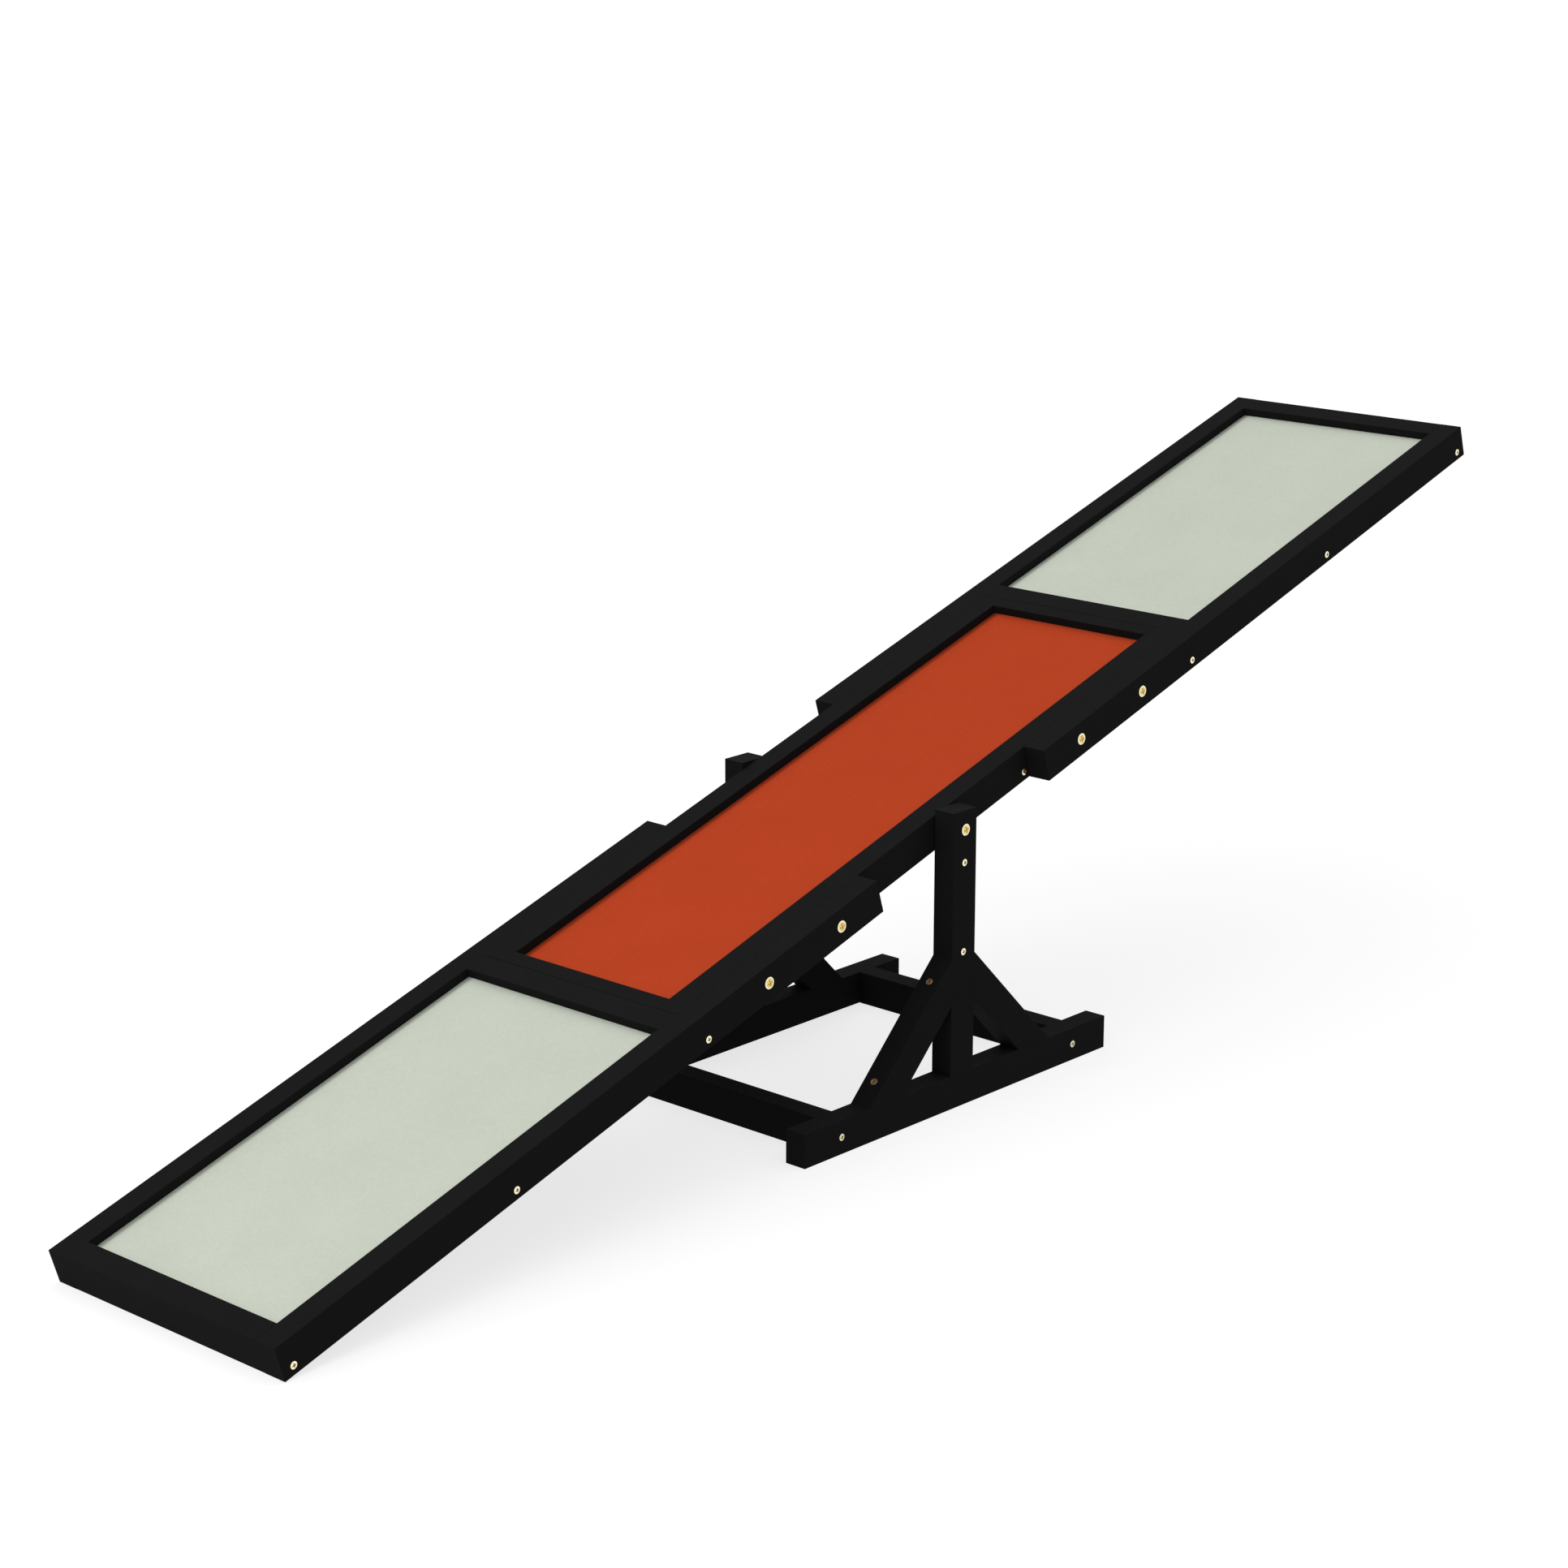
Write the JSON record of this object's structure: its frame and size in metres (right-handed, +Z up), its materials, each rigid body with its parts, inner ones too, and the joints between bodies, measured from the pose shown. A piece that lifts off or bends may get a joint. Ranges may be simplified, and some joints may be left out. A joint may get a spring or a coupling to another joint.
{
  "type": "dog agility seesaw",
  "caption": "Low dog agility seesaw: a black timber-framed plank with pale and red grit walking panels, tipping on a braced timber stand.",
  "frame": {"origin": "on the ground, straight below the middle of the pivot", "axes": "+X along the seesaw towards the end that is raised at rest, +Y across it to the far side, +Z up"},
  "size_m": [1.7304, 0.3032, 0.562],
  "materials": {
    "black_timber": "matt black paint",
    "pale_grit": "matt fine grit coat",
    "red_grit": "matt fine grit coat",
    "brass_plate": "bright plated",
    "beech": "bare",
    "nylon": "natural"
  },
  "bodies": {
    "stand": {"near_base_rail": "black_timber", "far_base_rail": "black_timber", "low_stand_rail": "black_timber", "high_stand_rail": "black_timber", "near_post": "black_timber", "far_post": "black_timber", "near_low_brace": "black_timber", "near_high_brace": "black_timber", "far_low_brace": "black_timber", "far_high_brace": "black_timber", "base_screws": "brass_plate", "brace_screws": "brass_plate", "post_screws": "brass_plate", "foot_screws": "brass_plate"},
    "plank": {"low_near_rail": "black_timber", "low_far_rail": "black_timber", "low_end_rail": "black_timber", "low_cross_rail": "black_timber", "low_batten": "black_timber", "high_near_rail": "black_timber", "high_far_rail": "black_timber", "high_end_rail": "black_timber", "high_cross_rail": "black_timber", "high_batten": "black_timber", "middle_near_rail": "black_timber", "middle_far_rail": "black_timber", "middle_low_slat": "black_timber", "middle_high_slat": "black_timber", "middle_low_batten": "black_timber", "middle_high_batten": "black_timber", "low_panel": "pale_grit", "high_panel": "pale_grit", "middle_panel": "red_grit", "end_frame_screws": "brass_plate", "overlap_screws": "brass_plate", "middle_frame_screws": "brass_plate", "overlap_bolts": "brass_plate", "overlap_inserts": "brass_plate", "pivot_bolts": "brass_plate", "pivot_inserts": "brass_plate", "cross_rail_dowels": "beech", "pivot_washers": "nylon"}
  },
  "joints": [
    {"name": "plank_pivot", "type": "hinge", "parent": "stand", "child": "plank", "pos_m": [0, 0, 0.281], "axis": [0, 1, 0], "range_deg": [0, 34.2]}
  ]
}
